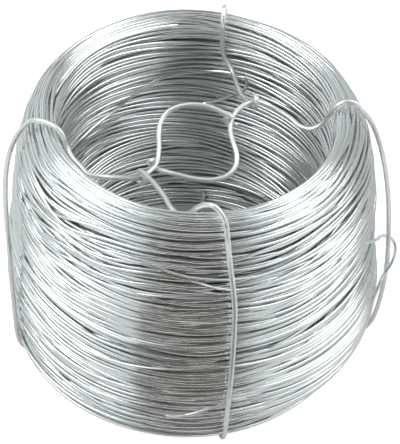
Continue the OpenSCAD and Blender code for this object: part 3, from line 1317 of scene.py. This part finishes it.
@dataclass(frozen=True)
class ZincFinish:
    """Zinc-coated wire: a bright metal with duller, greyer patches and fine lines along it."""

    name: str
    bright: Colour
    grey: Colour
    dulled: Colour
    smooth_rough: float
    dull_rough: float
    bump: float
    metallic: float

    def build(self, skin: bpy.types.NodeTree) -> Material:
        """Builds the material.

        Args:
            skin: the shared pattern of the zinc.

        Returns:
            The material.
        """
        material = bpy.data.materials.new(self.name)
        n = Nodes.bare(material)
        place, pattern = n.add("Attribute"), n.add("Group")
        place.attribute_name, pattern.node_tree = "run", skin
        n.put(pattern.inputs["Run"], place.outputs["Vector"])
        mottle, streak, dull, relief = (pattern.outputs[k] for k in ("Mottle", "Streak", "Dull", "Relief"))
        tone = n.mix(mottle, (*self.grey, 1), (*self.bright, 1))
        tone = n.mix(n.times(dull, 0.7), tone, (*self.dulled, 1))
        wear = n.math("ADD", n.times(dull, 0.6), n.times(streak, 0.4))
        rough = n.add("MapRange", Value=wear, To_Min=self.smooth_rough, To_Max=self.dull_rough)
        bump = n.add("Bump", Height=relief, Strength=self.bump, Distance=0.0001)
        rough, normal = rough.outputs["Result"], bump.outputs["Normal"]
        n.finish(Base_Color=tone, Metallic=self.metallic, Roughness=rough, Normal=normal)
        return material


@dataclass(frozen=True)
class PaintedDeepShade:
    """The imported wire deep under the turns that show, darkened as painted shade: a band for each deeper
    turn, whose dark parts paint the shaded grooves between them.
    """

    name: str
    light: Colour
    dark: Colour
    pitch: float

    def build(self) -> Material:
        """Builds the material.

        Returns:
            The material.
        """
        material = bpy.data.materials.new(self.name)
        n = Nodes.bare(material)
        place = n.add("TexCoord").outputs["Object"]
        wave = n.add("TexWave", Vector=place, Scale=0.314 / (self.pitch * MM) / 2, Distortion=1.2, Detail=2.0)
        wave.bands_direction = "Z"
        # painted shade: the dark colour of the bands paints the shaded grooves between the deeper turns, and
        # the whole middle is darker than the zinc
        tone = n.mix(wave.outputs["Fac"], (*self.dark, 1), (*self.light, 1))
        bump = n.add("Bump", Height=wave.outputs["Fac"], Strength=0.6, Distance=0.0003)
        n.finish(Base_Color=tone, Metallic=0.7, Roughness=0.5, Normal=bump.outputs["Normal"])
        return material


# ---------------------------------------- studio


@dataclass(frozen=True)
class SoftLamp:
    """One large lamp: where it stands, how large it is and how bright its face is."""

    name: str
    place: Point
    width: float
    height: float
    radiance: float
    tint: Colour = (1.0, 1.0, 1.0)

    def build(self, target: Vector) -> None:
        """Adds the lamp, turned to the target.

        Args:
            target: what it shines on.
        """
        data = bpy.data.lights.new(self.name, "AREA")
        data.shape = "RECTANGLE"
        data.size, data.size_y = self.width, self.height
        data.energy = self.radiance * math.pi * self.width * self.height
        data.color = self.tint
        lamp = add_object(self.name, data)
        lamp.location = self.place
        lamp.rotation_euler = (target - lamp.location).to_track_quat("-Z", "Y").to_euler()


def plain_material(name: str, colour: Colour) -> Material:
    """Builds a matt material for the studio.

    Args:
        name: its name.
        colour: its colour.

    Returns:
        The material.
    """
    material = bpy.data.materials.new(name)
    material.use_nodes = True
    inputs = material.node_tree.nodes["Principled BSDF"].inputs
    for socket, value in (("Base Color", (*colour, 1)), ("Roughness", 1.0), ("Specular IOR Level", 0.0)):
        inputs[socket].default_value = value
    return material


@dataclass(frozen=True)
class DarkSide:
    """A darker part of the light tent.

    Args:
        azimuth: its lowest and highest azimuth.
        elevation: its lowest and highest elevation.
        colour: its colour.
        edge: the colour that it passes through at its soft edges.
        softness: width of its edges, in degrees.
    """

    azimuth: Pair
    elevation: Pair
    colour: Colour
    edge: Colour
    softness: float


@dataclass(frozen=True)
class Studio:
    """A light tent: pale all round, with a dark opening, soft lamps and a white floor."""

    floor_size: float = 3.0
    floor_glow: float = 0.08
    floor_white: float = 0.8
    shade_r: float = 0.036
    tent: Colour = (0.94, 0.985, 0.98)
    tent_level: float = 0.76
    dark_sides: tuple[DarkSide, ...] = (
        DarkSide((-116, -54), (13, 82), (0.040, 0.029, 0.023), (0.34, 0.44, 0.48), 7),
        DarkSide((62, 106), (20, 60), (0.40, 0.42, 0.42), (0.60, 0.64, 0.64), 14),
        DarkSide((16, 50), (-6, 46), (0.45, 0.45, 0.44), (0.66, 0.68, 0.67), 14),
    )
    lamps: tuple[SoftLamp, ...] = (
        SoftLamp("lamp_left", (-0.455, -0.02, 0.665), 0.44, 0.44, 3.35),
        SoftLamp("lamp_right", (0.45, 0.075, 0.665), 0.44, 0.44, 3.15),
        SoftLamp("lamp_front", (0.06, -0.86, 0.17), 0.7, 0.05, 3.4, (1.0, 0.86, 0.74)),
    )
    mat_start: tuple[Pair, Pair] = ((-0.022, -0.066), (0.022, -0.066))
    mat_length: float = 0.9
    mat_colour: Colour = (0.12, 0.10, 0.085)

    def build(self, target: Vector) -> None:
        """Builds the studio round the object.

        Args:
            target: middle of the object.
        """
        for lamp in self.lamps:
            lamp.build(target)
        self._floor()
        self._mat()
        self._surroundings()

    def _floor(self) -> None:
        """Lays the floor, which is white except in the object's shadow."""
        bpy.ops.mesh.primitive_plane_add(size=self.floor_size)
        floor = bpy.context.active_object
        floor.name = "floor"
        material = plain_material("floor", (0.6, 0.6, 0.6))
        shader = material.node_tree.nodes["Principled BSDF"]
        shader.inputs["Emission Color"].default_value = (1, 1, 1, 1)
        n = Nodes(material.node_tree)
        place = n.add("SeparateXYZ", Vector=n.add("TexCoord").outputs["Object"])
        x, y = (n.times(place.outputs[k], place.outputs[k]) for k in "XY")
        way_out = n.between(n.math("SQRT", n.math("ADD", x, y)), self.shade_r, self.shade_r + 0.01)
        to_camera = n.times(n.add("LightPath").outputs["Is Camera Ray"], self.floor_white)
        glow = n.math("ADD", n.times(to_camera, way_out), self.floor_glow)
        n.put(shader.inputs["Emission Strength"], glow)
        floor.data.materials.append(material)
        floor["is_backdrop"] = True

    def _mat(self) -> None:
        """Lays a dark mat in front, which the wire mirrors and the camera doesn't see."""
        places = []
        for (x, y), azimuth in zip(self.mat_start, self.dark_sides[0].azimuth):
            dx, dy, z = polar(self.mat_length, azimuth, 0.001)
            places += [(x, y, z), (x + dx, y + dy, z)]
        mesh = bpy.data.meshes.new("dark_mat")
        mesh.from_pydata(places, [], [(0, 1, 3, 2)])
        mat = add_object("dark_mat", mesh)
        mat.visible_camera = mat.visible_shadow = mat.visible_diffuse = False
        mat.data.materials.append(plain_material("dark_mat", self.mat_colour))
        mat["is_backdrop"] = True

    def _surroundings(self) -> None:
        """Sets the world: plain white to the camera, the light tent to everything else."""
        world = bpy.context.scene.world = bpy.data.worlds.new("surroundings")
        n = Nodes.bare(world)
        way = n.add("SeparateXYZ", Vector=n.add("TexCoord").outputs["Generated"])
        azimuth = n.times(n.math("ARCTAN2", way.outputs["Y"], way.outputs["X"]), 180 / math.pi)
        height = n.times(n.math("ARCSINE", way.outputs["Z"]), 180 / math.pi)
        colour = (*self.tent, 1)
        for side in self.dark_sides:
            across = self._window(n, azimuth, side.azimuth, side.softness)
            inside = n.times(across, self._window(n, height, side.elevation, side.softness))
            colour = n.mix(inside, colour, (*side.edge, 1))
            colour = n.mix(n.times(inside, inside), colour, (*side.colour, 1))
        level = n.add("Background", Color=colour, Strength=self.tent_level)
        white = n.add("Background", Color=(1, 1, 1, 1), Strength=1.0)
        mix = n.add("MixShader", Fac=n.add("LightPath").outputs["Is Camera Ray"])
        n.put(mix.inputs[1], level.outputs[0])
        n.put(mix.inputs[2], white.outputs[0])
        n.add("OutputWorld", Surface=mix.outputs[0])

    @staticmethod
    def _window(n: Nodes, value: Socket, span: Pair, softness: float) -> Socket:
        """Builds a mask that is 1 inside a span of degrees, with soft edges.

        Args:
            n: adds the nodes.
            value: the angle.
            span: lowest and highest angle.
            softness: width of the edges.

        Returns:
            The mask.
        """
        half = softness / 2
        rise, fall = (n.between(value, edge - half, edge + half) for edge in span)
        return n.times(rise, n.math("SUBTRACT", 1.0, fall))


@dataclass(frozen=True)
class Viewpoint:
    """The camera: how high it looks from, how far off it stands and how it is held."""

    elevation: float = 46.07
    distance: float = 0.3434
    roll: float = 3.05
    lens: float = 102.96
    shift: Pair = (0.0202, -0.0297)

    def build(self, target: Vector) -> None:
        """Adds the camera and makes it the scene's.

        Args:
            target: the point that it looks at.
        """
        data = bpy.data.cameras.new("camera")
        data.lens = self.lens
        data.shift_x, data.shift_y = self.shift
        data.clip_start = 0.01
        camera = add_object("camera", data)
        high = math.radians(self.elevation)
        camera.location = target + self.distance * Vector((0, -math.cos(high), math.sin(high)))
        held = Matrix.Rotation(math.radians(self.roll), 4, "Z")
        look = (target - camera.location).to_track_quat("-Z", "Y").to_matrix().to_4x4()
        camera.rotation_euler = (look @ held).to_euler()
        bpy.context.scene.camera = camera


# ---------------------------------------- scene


WINDING_FINISH = ZincFinish(
    "zinc_wire", bright=(0.925, 0.955, 0.96), grey=(0.86, 0.895, 0.90), dulled=(0.81, 0.845, 0.85),
    smooth_rough=0.13, dull_rough=0.29, bump=0.2, metallic=0.98,
)
# painted light: the same zinc, paler and less metallic, for the innermost turns, so that the bore looks
# brighter
BORE_BRIGHTENED_FINISH = ZincFinish(
    "zinc_wire_in_bore_painted_light", bright=(0.965, 0.985, 0.99), grey=(0.94, 0.965, 0.97), dulled=(0.91, 0.94, 0.945),
    smooth_rough=0.16, dull_rough=0.3, bump=0.2, metallic=0.85,
)
TIE_FINISH = ZincFinish(
    "tie_wire", bright=(0.96, 0.97, 0.965), grey=(0.86, 0.875, 0.87), dulled=(0.79, 0.80, 0.795),
    smooth_rough=0.26, dull_rough=0.46, bump=0.6, metallic=0.8,
)
# painted shade: the packed middle is given a darker tone than the zinc, and dark bands, for the shade deep
# between the turns
DEEP_PAINTED_SHADE = PaintedDeepShade("packed_wire_painted_shade", light=(0.7, 0.71, 0.71), dark=(0.3, 0.3, 0.3), pitch=0.96)


def corners() -> list[list[float]]:
    """Lowest and highest corner of what shows of the object."""
    return [list(corner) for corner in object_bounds()]


def main() -> None:
    """Builds the coil, its studio and its camera."""
    logging.basicConfig(level=logging.INFO, format="%(name)s: %(message)s")
    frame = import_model()
    LOG.info("frame has the nodes %s", ", ".join(sorted(frame["nodes"])))
    bpy.ops.object.select_all(action="DESELECT")

    sizes = CoilSizes()
    layup = Layup(sizes)
    layup.run()
    skin = zinc_skin()
    coat, bore_brightened, tie_coat = (f.build(skin) for f in (WINDING_FINISH, BORE_BRIGHTENED_FINISH, TIE_FINISH))
    wound = Winding(sizes, layup).build(coat, bore_brightened, DEEP_PAINTED_SHADE.build())
    for piece in wound + Ties(sizes).build(tie_coat):
        LOG.info("built %s, %d faces", piece.name, len(piece.data.polygons))

    middle = Vector((0, 0, (sizes.stand + sizes.top_z) / 2 * MM))
    Studio().build(middle)
    Viewpoint().build(middle)
    bpy.context.scene.view_settings.view_transform = "Standard"


if __name__ == "__main__":
    main()
